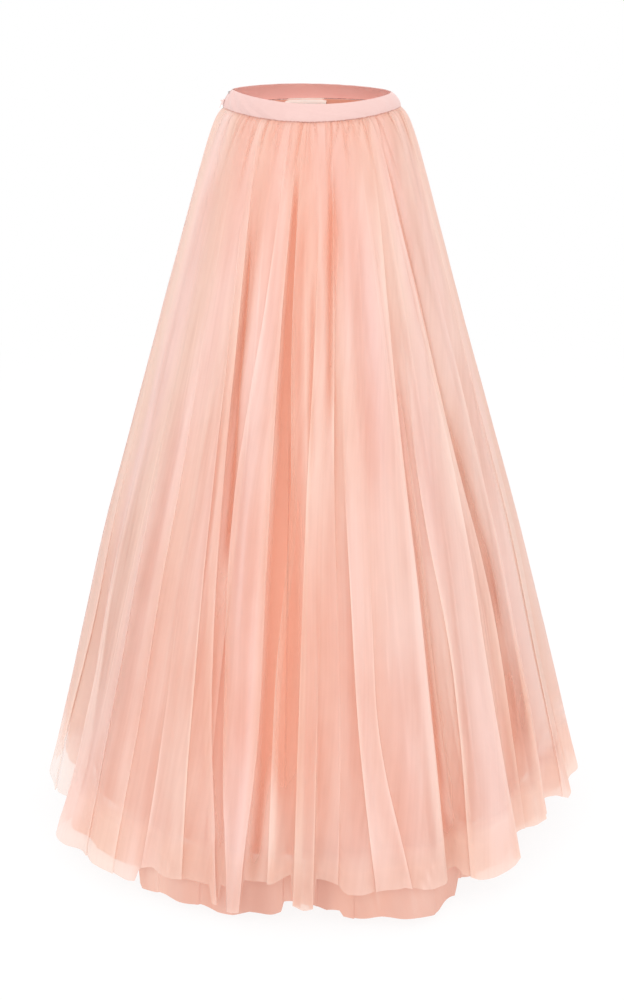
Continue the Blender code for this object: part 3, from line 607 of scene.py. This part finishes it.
def net_points(first, pleats, streaks, drops, ply):
    """One ply's grid of points, their places along the cloth, and the values that its material reads."""
    cloth, angle, inward, rims, hang = tucked(first, pleats, drops, ply)
    drop = drops[:, None]
    # In front the net's hem follows its table, and at the back it changes length from pleat to pleat.
    if first < 0.0 and ply.hem is not None:
        hang = np.interp(angle, ply.hem[:, 0], ply.hem[:, 1])
    elif ply is UNDER:
        hang = 0.4 * hang + mix(-12.0, 19.0, long_below(angle))
    uneven = MM * hang + ply.uneven * ripples(angle, np.zeros_like(drop), ply.seed + 9, 16, 46, 0.0)
    drop = drop + uneven * (drop / SKIRT_DROP) ** 6
    half_width = through(DROPS, HALF_WIDTHS, drop)
    gather = np.interp(drop, DROPS, GATHERS) * ply.gathers
    swing = 3.1 * np.sin(0.13 * angle) + 1.7 * np.sin(0.41 * angle)
    ridge = np.cos(2.0 * np.pi * GATHERS_A_PANEL * (angle - first) / (2.0 * SIDE) + swing)
    pucker = puckered(angle, drop)
    outward = gather * (0.30 + 0.30 * ridge * (0.6 + 0.4 * np.sin(0.31 * angle)))
    outward = outward - PUCKER_DEPTH * ply.gathers * pucker
    steady = np.interp(drop, [DROPS[0], 0.05, 0.2, 0.6, SKIRT_DROP], [0.0, 0.25, 0.6, 1.0, 1.25])
    settled = smooth((drop - 0.04) / 0.26)
    broad = ripples(angle, drop, ply.seed, 9, 22, 1.4)
    middling = ripples(angle, drop, ply.seed + 2, 24, 52, 1.8)
    narrow = ripples(cloth + first, drop, ply.seed + 1, 70, 150, 2.6)
    creases = made_up_creases(ply.creases, ply.seed + 3) + (HEM_CREASES if ply.rims else [])
    fine = (0.2 + 0.8 * settled) * creased(angle, drop, creases)
    waves = BROAD_DEPTH * broad + MIDDLING_DEPTH * middling + NARROW_DEPTH * narrow
    outward = outward + steady * (ply.waves * waves + CREASE_DEPTH * fine)
    depth = fold_depth(angle, drop, ply.widening) * ply.fold_share
    outward = outward + flared(angle, drop) - depth - inward - np.interp(drop, DROPS, ply.gaps)
    bunch = streaked(angle, drop, streaks) + rims + wide_areas(angle, drop) + 0.08 * broad
    bunch = bunch + (0.3 + 0.7 * settled) * (0.045 * middling + 0.004 * narrow) + 0.32 * fine
    # The puckers under the waist seam get a painted shade: the net is thinner and deeper in colour along
    # them.
    bunch = bunch - 0.62 * ply.gathers * np.minimum(pucker, 1.5)
    # The net lies closer towards the side seams, and spreads again just above the hem.
    off_left = np.minimum(np.abs(angle + SIDE), np.abs(angle - 3.0 * SIDE))
    off_right = np.abs(angle - SIDE)
    beside = 1.0 - smooth((np.minimum(off_left, off_right) - 8.0) / 30.0)
    beside = beside * (1.0 - smooth((drop - 0.98) / 0.07))
    bunch = bunch + 0.16 * beside
    # deep is a painted shade: the colour deepens in the soft valleys and the pleats' tucks, and a thin
    # painted shadow lies just under the waistband's foot. deep also grows towards the side seams.
    deep = (inward + 0.4 * depth) / 0.020 + 0.55 * beside + bell((drop - DROPS[0]) / 0.003)
    # Below the lining's hem the plies lie close together, and only the left corner is sheer. Their colour
    # deepens there, partly for the plies and partly as painted shade of the skirt's inside.
    low = smooth((drop - LINING_DROP + 0.035) / 0.035) * smooth((off_left - 14.0) / 10.0)
    right = smooth((80.0 - off_right) / 24.0)
    long_hem = long_below(angle)
    if ply is UNDER:
        cover = 0.5 * beside + 0.5 * low + 0.2 * low * right
        deep = deep + low * (0.7 + 0.7 * long_hem)
        # The band of net at the hem is lapped plies with a painted shade, darkest in two hollows either
        # side of the long strip at the centre.
        hollow_shade = bell((angle + 9.5) / 4.5) + bell((angle - 3.2) / 2.6)
        lap = low * (0.15 + 0.30 * long_hem + 0.35 * hollow_shade)
        lap = lap * (1.0 + 0.25 * middling) * (1.0 - 0.6 * bell((angle + 35.0) / 6.0))
    else:
        cover = 0.5 * beside + 0.25 * low + 0.16 * low * right
        deep = deep + low * (0.5 + 0.4 * long_hem)
        lap = 0.20 * smooth((drop - 1.04) / 0.07) * long_hem
    pink = 0.5 + 0.35 * ripples(angle, drop, ply.seed + 4, 5, 16, 1.0)
    points = place(angle, half_width, drop, outward)
    values = {"deep": deep, "bunch": 0.53 + 0.5 * bunch, "pink": pink, "cover": cover, "lap": lap}
    return points, cloth, values


def grid_mesh(name, points, cloth_uv, values=None):
    """A mesh through a grid of points, with a UV map in metres of cloth, one for baking, and named point
    values."""
    rows, columns = points.shape[:2]
    index = np.arange(rows * columns).reshape(rows, columns)
    corners = [index[:-1, :-1], index[1:, :-1], index[1:, 1:], index[:-1, 1:]]
    faces = np.stack(corners, axis=-1).reshape(-1, 4)
    mesh = bpy.data.meshes.new(name)
    mesh.from_pydata(points.reshape(-1, 3), [], faces)
    up = np.linspace(0.998, 0.002, rows)[:, None]
    bake_uv = np.stack(np.broadcast_arrays(np.linspace(0.002, 0.998, columns), up), axis=-1)
    for title, uv in (("cloth", cloth_uv), ("OFBake", bake_uv)):
        layer = mesh.uv_layers.new(name=title)
        layer.data.foreach_set("uv", uv.reshape(-1, 2)[faces.reshape(-1)].reshape(-1).astype(np.float32))
    for title, value in (values or {}).items():
        attribute = mesh.attributes.new(title, "FLOAT", "POINT")
        attribute.data.foreach_set("value", value.reshape(-1).astype(np.float32))
    mesh.shade_smooth()
    piece = bpy.data.objects.new(name, mesh)
    bpy.context.scene.collection.objects.link(piece)
    return piece


def row_drops(last, rows):
    """Drops from the seam to the hem, closer together at the top."""
    share = np.linspace(0.0, 1.0, rows)
    return DROPS[0] + (last - DROPS[0]) * (0.45 * share + 0.55 * share**1.9)


UV_RADIUS, UV_BOTTOM = 0.44, 1.2  # the UV map is in metres round this radius, and up from this drop


def cloth_piece(name, back, pleats, streaks, ply):
    """One ply of the front or the back, whose edges end at the side seams."""
    drops = row_drops(ply.last, ply.rows)
    points, cloth, values = net_points(SIDE if back else -SIDE, pleats, streaks, drops, ply)
    points[:, (0, -1), 1] = 0.5 * SEAM_GAP if back else -0.5 * SEAM_GAP
    down = np.broadcast_to(drops[:, None], cloth.shape)
    uv = np.stack([np.radians(cloth) * UV_RADIUS, UV_BOTTOM - down], axis=-1)
    return grid_mesh(name, points, uv, {title: np.clip(value, 0.0, 1.0) for title, value in values.items()})


# ---- materials ----
class Nodes:
    """Short calls for one material's node tree."""

    def __init__(self, name):
        self.material = bpy.data.materials.new(name)
        self.material.use_nodes = True
        self.tree = self.material.node_tree
        self.tree.nodes.clear()
        self.output = self.add("ShaderNodeOutputMaterial")

    def add(self, kind, links=None, **settings):
        """A node with these settings, and its sockets linked to other sockets or set to values."""
        node = self.tree.nodes.new(kind)
        for key, value in settings.items():
            setattr(node, key, value)
        for socket, value in (links or {}).items():
            target = node.inputs[socket]
            if isinstance(value, bpy.types.NodeSocket):
                self.tree.links.new(value, target)
            else:
                target.default_value = value
        return node

    def uv(self, stretch=(1.0, 1.0, 1.0)):
        links = {"Vector": self.add("ShaderNodeUVMap", uv_map="cloth").outputs["UV"], "Scale": stretch}
        return self.add("ShaderNodeMapping", links).outputs["Vector"]

    def noise(self, vector, scale, detail=2.0, roughness=0.5, distortion=0.0):
        links = {"Vector": vector, "Scale": scale, "Detail": detail, "Roughness": roughness}
        links["Distortion"] = distortion
        return self.add("ShaderNodeTexNoise", links).outputs["Fac"]

    def ramp(self, value, low, high, to_low=0.0, to_high=1.0):
        links = {"Value": value, "From Min": low, "From Max": high, "To Min": to_low, "To Max": to_high}
        return self.add("ShaderNodeMapRange", links).outputs["Result"]

    def maths(self, operation, first, second):
        return self.add("ShaderNodeMath", {0: first, 1: second}, operation=operation).outputs[0]

    def value(self, attribute):
        return self.add("ShaderNodeAttribute", attribute_name=attribute).outputs["Fac"]

    def blend(self, share, first, second):
        return self.add("ShaderNodeMix", {0: share, 6: first, 7: second}, data_type="RGBA").outputs[2]

    def finish(self, shader):
        self.tree.links.new(shader, self.output.inputs["Surface"])
        return self.material


def net_material(name, pale, pinker, deep, lapped_and_shaded, covers, full_at, through_light):
    """Sheer net: part of the light goes straight through, less where it is bunched, and soft streaks run
    down it."""
    nodes = Nodes(name)
    fine = nodes.noise(nodes.uv((150.0, 2.6, 1.0)), 1.0, 2.0, 0.5, 0.3)
    broad = nodes.noise(nodes.uv((34.0, 1.6, 1.0)), 1.0, 2.0, 0.5, 0.5)
    cloud = nodes.noise(nodes.uv((8.0, 3.4, 1.0)), 1.0, 3.0, 0.55)
    streak = nodes.ramp(fine, 0.3, 0.7, -0.020, 0.020)
    streak = nodes.maths("ADD", streak, nodes.ramp(broad, 0.3, 0.7, -0.055, 0.055))
    # The streaks are finest where the cloth is gathered, and are weaker there.
    up = nodes.add("ShaderNodeSeparateXYZ", {0: nodes.uv()}).outputs["Y"]
    streak = nodes.maths("MULTIPLY", streak, nodes.ramp(up, 1.14, 0.80, 0.15, 1.0))
    streak = nodes.maths("ADD", streak, nodes.ramp(cloud, 0.3, 0.7, -0.10, 0.10))
    bunch = nodes.maths("ADD", nodes.value("bunch"), streak)
    # The colour deepens with painted shade where the bunch value is low, and more where deep is set.
    shade = nodes.ramp(bunch, 0.70, 0.0, 0.0, 0.95)
    shade = nodes.maths("ADD", shade, nodes.maths("MULTIPLY", nodes.value("deep"), 0.35))
    shade = nodes.maths("MINIMUM", shade, 1.0)
    colour = nodes.blend(shade, nodes.blend(nodes.value("pink"), pale, pinker), deep)
    colour = nodes.blend(nodes.value("lap"), colour, lapped_and_shaded)
    density = nodes.maths("ADD", nodes.ramp(bunch, 0.0, full_at, *covers), nodes.value("cover"))
    density = nodes.maths("MINIMUM", density, 0.97)
    face = nodes.add("ShaderNodeBsdfPrincipled", {
        "Base Color": colour, "Roughness": 0.8, "Sheen Weight": 0.15, "Sheen Roughness": 0.4,
        "Specular IOR Level": 0.2,
    })
    lit = nodes.add("ShaderNodeBsdfTranslucent", {"Color": colour})
    cloth = nodes.add("ShaderNodeMixShader", {0: through_light, 1: face.outputs[0], 2: lit.outputs[0]})
    clear = nodes.add("ShaderNodeBsdfTransparent")
    sheer = nodes.add("ShaderNodeMixShader", {0: density, 1: clear.outputs[0], 2: cloth.outputs[0]})
    return nodes.finish(sheer.outputs[0])


SEAM_SOFTNESS = 0.0002


def satin_material(name, colour, shadow, roughness, sheen, weave=900.0, bump=0.25, seam=None):
    """Satin: a soft sheen, fine ribs across and faint streaks along the weave. A seam is a dark broken line
    between two distances down the piece, with its colour: stitching on the facing, and on the band
    stitching with a painted shadow where the gathered net meets its foot."""
    nodes = Nodes(name)
    streak = nodes.noise(nodes.uv((weave * 0.15, weave * 0.6, 1.0)), 1.0, 2.0)
    cloud = nodes.noise(nodes.uv((9.0, 14.0, 1.0)), 1.0, 2.0)
    amount = nodes.ramp(streak, 0.35, 0.65, 0.0, 0.22)
    amount = nodes.maths("ADD", amount, nodes.ramp(cloud, 0.35, 0.65, 0.0, 0.25))
    tone = nodes.blend(amount, colour, shadow)
    if seam:
        start, end, thread_and_shadow = seam
        down = nodes.add("ShaderNodeSeparateXYZ", {0: nodes.uv()}).outputs["Y"]
        below_end = nodes.ramp(down, end, end + SEAM_SOFTNESS, 1.0, 0.0)
        line = nodes.maths("MULTIPLY", nodes.ramp(down, start - SEAM_SOFTNESS, start), below_end)
        breaks = nodes.ramp(nodes.noise(nodes.uv((330.0, 40.0, 1.0)), 1.0, 1.0), 0.40, 0.56, 0.15, 0.85)
        tone = nodes.blend(nodes.maths("MULTIPLY", line, breaks), tone, thread_and_shadow)
    links = {"Vector": nodes.uv(), "Scale": weave / 3.0}
    ribs = nodes.add("ShaderNodeTexWave", links, bands_direction="Y")
    links = {"Height": ribs.outputs["Fac"], "Strength": bump, "Distance": 0.0002}
    lift = nodes.add("ShaderNodeBump", links)
    face = nodes.add("ShaderNodeBsdfPrincipled", {
        "Base Color": tone, "Roughness": roughness, "Normal": lift.outputs["Normal"], "Sheen Weight": sheen,
        "Specular IOR Level": 0.45,
    })
    return nodes.finish(face.outputs[0])


def hard_material(name, colour, worn, roughness, metallic):
    """Metal or enamel, a little duller and rougher in patches."""
    nodes = Nodes(name)
    patches = nodes.noise(nodes.add("ShaderNodeTexCoord").outputs["Object"], 900.0, 3.0)
    tone = nodes.blend(nodes.ramp(patches, 0.45, 0.75), colour, worn)
    rough = nodes.ramp(patches, 0.3, 0.7, roughness - 0.06, roughness + 0.10)
    links = {"Base Color": tone, "Roughness": rough, "Metallic": metallic}
    face = nodes.add("ShaderNodeBsdfPrincipled", links)
    return nodes.finish(face.outputs[0])


def rgb(red, green, blue):
    """A linear colour from its 0 to 255 screen values."""
    shares = [channel / 255.0 for channel in (red, green, blue)]
    linear = [share / 12.92 if share <= 0.04045 else ((share + 0.055) / 1.055) ** 2.4 for share in shares]
    return (*linear, 1.0)


net_outer = net_material(
    "outer_net", rgb(251, 236, 225), rgb(252, 233, 228), rgb(244, 207, 187), rgb(226, 178, 162),
    (0.10, 0.84), 0.95, 0.44,
)
net_under = net_material(
    "under_net", rgb(248, 224, 210), rgb(249, 221, 212), rgb(236, 174, 150), rgb(217, 164, 147),
    (0.22, 0.92), 0.80, 0.38,
)
lining_satin = satin_material("lining_satin", rgb(239, 177, 153), rgb(234, 165, 140), 0.55, 0.1, 500.0, 0.1)
# The band's dark seam line at its foot is partly stitching and partly a painted shadow where the gathered
# net tucks under it.
band_satin = satin_material(
    "band_satin", rgb(219, 184, 178), rgb(213, 173, 167), 0.42, 0.25,
    seam=(0.0303, 0.0309, rgb(186, 126, 112)),
)
facing_satin = satin_material(
    "facing_satin", rgb(255, 208, 199), rgb(252, 192, 182), 0.5, 0.3,
    seam=(0.0236, 0.0262, rgb(126, 56, 52)),
)
label_cream = satin_material("label_cream", rgb(247, 239, 231), rgb(236, 227, 217), 0.7, 0.1, 700.0, 0.3)
hook_steel = hard_material("hook_steel", rgb(196, 190, 188), rgb(160, 154, 152), 0.32, 1.0)
zip_enamel = hard_material("zip_enamel", rgb(244, 214, 208), rgb(226, 190, 184), 0.35, 0.0)


# ---- cloth ----
def dressed(piece, material, node):
    """Gives a piece its material, and stands it in for its node of the skirt."""
    piece.data.materials.append(material)
    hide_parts(node)
    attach(piece, "skirt")


# Each ply's piece and node, its form, material and slot, and its pleats and streaks, front and back.
PLIES = (
    ("net_outer", "tulle_outer", OUTER, net_outer, "outer_tulle",
     (OUTER_FRONT, OUTER_BACK), (FRONT_STREAKS, BACK_STREAKS)),
    ("net_under", "tulle_under", UNDER, net_under, "under_tulle",
     (UNDER_FRONT, UNDER_BACK), (UNDER_STREAKS, UNDER_STREAKS)),
    ("satin_lining", "lining", LINING, lining_satin, "lining_satin", ([], []), ([], [])),
)
for back, half in enumerate(HALVES):
    for title, node, ply, material, slot, pleats, streaks in PLIES:
        piece = cloth_piece(f"{title}_{half}", back, pleats[back], streaks[back], ply)
        dressed(piece, material, f"{node}_{half}")


# ---- waistband ----
BAND_COLUMNS = 240
BAND_TURNED_IN = 0.006
FACING_EASE = 0.0004


def band_half_width(drop):
    """The band's curve from its top edge out to its foot."""
    down = np.clip(drop / BAND_DROP, 0.0, 1.0)
    return mix(WAIST_HALF_WIDTH, BAND_FOOT_HALF_WIDTH, 1.0 - (1.0 - down) ** BAND_ROUNDING)


def in_from_band(angle, drop, inset):
    """Points set in square to the band's face."""
    rise = band_half_width(drop + SLOPE_STEP) - band_half_width(drop - SLOPE_STEP)
    slope = np.arctan2(rise, 2.0 * SLOPE_STEP)
    points = place(angle, band_half_width(drop), drop, -inset * np.cos(slope))
    points[..., 2] -= inset * np.sin(slope)
    return points


def band_piece(name, back, section, gap):
    """Half of the band through a section of (drop, inset, relief share) rows, from one end to the other."""
    angle = (SIDE if back else -SIDE) + np.linspace(0.0, 2.0 * SIDE, BAND_COLUMNS)[None, :]
    drop, inset, share = (column[:, None] for column in np.array(section).T)
    points = in_from_band(angle, drop + np.zeros_like(angle), inset - band_relief(angle, drop) * share)
    room = np.where(points[..., 0] < 0.0, 0.5 * gap, 0.5 * SEAM_GAP)
    points[..., 1] = np.maximum(points[..., 1], room) if back else np.minimum(points[..., 1], -room)
    run = np.concatenate([[0.0], np.cumsum(np.hypot(np.diff(drop[:, 0]), np.diff(inset[:, 0])))])
    uv = np.stack(np.broadcast_arrays(np.radians(angle) * BAND_FOOT_HALF_WIDTH, run[:, None]), axis=-1)
    return grid_mesh(name, points, uv)


# Drag lines: the angle at mid height, how far they lean over the band's height, their width, and their
# height in millimetres.
Drag = namedtuple("Drag", "middle lean width height")
DRAGS = [Drag(*row) for row in (
    (-68, 20, 2.2, 0.9), (-61, 24, 1.8, -0.8), (-52, 28, 2.2, 0.9), (-44, 28, 1.8, -0.6),
    (-36, 30, 2.6, 0.5), (4, 60, 5, 0.5), (22, 40, 4, -0.4), (56, -22, 4, 0.5),
    (128, 24, 5, 0.6), (171, -30, 4, 0.5), (214, 26, 5, 0.6),
)]


def band_relief(angle, drop):
    """Drag lines and small puckers of the band, more near its lower seam."""
    low = np.clip(drop / BAND_DROP, 0.0, 1.0)
    pucker = 0.00012 * (0.1 + 0.9 * low**3) * ripples(angle, drop, 71, 90, 170, 0.0)
    swell = 0.00035 * ripples(angle, drop, 72, 12, 30, 0.0)
    drag_lines = np.zeros_like(pucker)
    for drag in DRAGS:
        drag_lines += MM * drag.height * bell((angle - drag.middle - drag.lean * (low - 0.5)) / drag.width)
    return pucker + swell + drag_lines


def rolled_section(steps):
    """The folded band: up its inside, over a small round at the top, down its face, under at the foot."""
    radius = 0.5 * BAND_WALL
    turns = np.linspace(0.0, math.pi, 7)
    rows = [(BAND_TURNED_IN, BAND_WALL, 0.0), (0.5 * BAND_TURNED_IN, BAND_WALL, 0.0)]
    rows += [(radius - radius * math.sin(turn), radius + radius * math.cos(turn), 0.3) for turn in turns]
    for share in np.linspace(0.0, 1.0, steps)[1:-1]:
        rows.append((mix(radius, BAND_DROP - radius, share), 0.0, min(1.0, 4.0 * share)))
    foot = BAND_DROP - radius
    rows += [(foot + radius * math.sin(turn), radius - radius * math.cos(turn), 1.0) for turn in turns]
    return rows


BAND_SECTION = rolled_section(18)
FACING_INSET = BAND_WALL + SEAM_GAP + FACING_EASE
FACING_SECTION = [(drop, FACING_INSET, 0.5) for drop in np.linspace(0.0, BAND_DROP, 16)]
FACING_SECTION += [(BAND_DROP + 0.0003, FACING_INSET - 0.0006, 0.5)]
for back, half in enumerate(HALVES):
    band = band_piece(f"satin_band_{half}", back, BAND_SECTION, OPENING_WIDTH)
    dressed(band, band_satin, f"waistband_{half}")
    facing = band_piece(f"satin_facing_{half}", back, FACING_SECTION, SEAM_GAP)
    dressed(facing, facing_satin, f"band_facing_{half}")

# ---- label ----
LABEL_MIDDLE = 184.5
LABEL_WIDTH = 0.068
LABEL_TOP = 0.0232
LABEL_HEIGHT = 0.0235
LABEL_INSET_TOP = 0.0042
LABEL_INSET = 0.0072


def woven_label():
    """A bare woven label, sewn in at the facing's foot and hanging over the lining."""
    spread = math.degrees(LABEL_WIDTH / BAND_FOOT_HALF_WIDTH)
    angle = LABEL_MIDDLE + spread * np.linspace(-0.5, 0.5, 49)[None, :]
    share = np.linspace(0.0, 1.0, 17)[:, None]
    corner = np.clip((np.abs(angle - LABEL_MIDDLE) / spread - 0.36) / 0.14, 0.0, 1.0)
    drop = LABEL_TOP + LABEL_HEIGHT * share + 0.0030 * corner**2 * (1.0 - share)
    inset = mix(LABEL_INSET_TOP, LABEL_INSET, smooth(share / 0.3)) + 0.0006 * np.sin(0.35 * angle) * share
    points = in_from_band(angle, drop, inset)
    across = np.radians(angle) * BAND_FOOT_HALF_WIDTH
    uv = np.stack(np.broadcast_arrays(across, LABEL_HEIGHT * share), axis=-1)
    return grid_mesh("woven_label", points, uv)


label = woven_label()
dressed(label, label_cream, "label")

# ---- closure ----
CLOSURE = {"hook": hook_steel, "eye": hook_steel, "zip_slider": zip_enamel, "zip_pull_tab": zip_enamel}
EDGE_ROUND = 0.00012
for node, finish in CLOSURE.items():
    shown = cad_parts[node]
    for holder in shown.material_slots:
        holder.material = finish
    rounding = shown.modifiers.new("rounded_edges", "BEVEL")
    rounding.width = EDGE_ROUND
    rounding.segments = 2
    rounding.limit_method = "ANGLE"
    rounding.angle_limit = math.radians(40.0)

# ---- stage ----
FLOOR_Z = -1.20
FLOOR_RADIUS = 40.0
WORLD_LIGHT = 1.22
CAMERA_AT = (0.0, -2.492, 0.3226)
CAMERA_LENS = 58.64
CAMERA_LOOKS_DOWN = 21.4
bpy.ops.mesh.primitive_circle_add(
    vertices=96, radius=FLOOR_RADIUS, fill_type="NGON", location=(0, 0, FLOOR_Z)
)
floor = bpy.context.object
floor.name = "floor"
paper = Nodes("pale_floor")
spot = paper.add("ShaderNodeTexCoord").outputs["Object"]
reach = paper.add("ShaderNodeVectorMath", {0: spot}, operation="LENGTH").outputs["Value"]
lit = paper.add("ShaderNodeBsdfDiffuse", {"Color": (0.95, 0.95, 0.95, 1.0)})
glow = paper.add("ShaderNodeEmission", {"Color": (1.0, 1.0, 1.0, 1.0), "Strength": 1.0})
fade = paper.ramp(reach, 0.4, 3.0, 0.88, 1.0)
shade = paper.add("ShaderNodeMixShader", {0: fade, 1: lit.outputs[0], 2: glow.outputs[0]})
floor.data.materials.append(paper.finish(shade.outputs[0]))

scene = bpy.context.scene
scene.view_settings.view_transform = "Standard"
world = bpy.data.worlds.new("studio")
scene.world = world
world.use_nodes = True
sky = world.node_tree.nodes["Background"].inputs
sky["Color"].default_value = (1.0, 1.0, 1.0, 1.0)
sky["Strength"].default_value = WORLD_LIGHT


def softbox(name, location, target, size, energy):
    """A square lamp that faces the target."""
    lamp = bpy.data.lights.new(name, "AREA")
    lamp.shape = "SQUARE"
    lamp.size = size
    lamp.energy = energy
    holder = bpy.data.objects.new(name, lamp)
    scene.collection.objects.link(holder)
    holder.location = location
    aim = np.array(target) - np.array(location)
    flat = math.hypot(aim[0], aim[1])
    holder.rotation_euler = (math.atan2(flat, -aim[2]), 0.0, math.atan2(aim[1], aim[0]) - 0.5 * math.pi)


softbox("key", (-1.7, -2.4, 1.5), (0, 0, -0.5), 1.2, 15.0)
softbox("fill", (1.6, -2.5, 1.1), (0, 0, -0.6), 2.0, 14.0)

camera = bpy.data.cameras.new("camera")
camera.sensor_width = 36.0
camera.sensor_fit = "AUTO"
camera.lens = CAMERA_LENS
viewer = bpy.data.objects.new("camera", camera)
scene.collection.objects.link(viewer)
viewer.location = CAMERA_AT
viewer.rotation_euler = (math.radians(90.0 - CAMERA_LOOKS_DOWN), 0.0, 0.0)
scene.camera = viewer
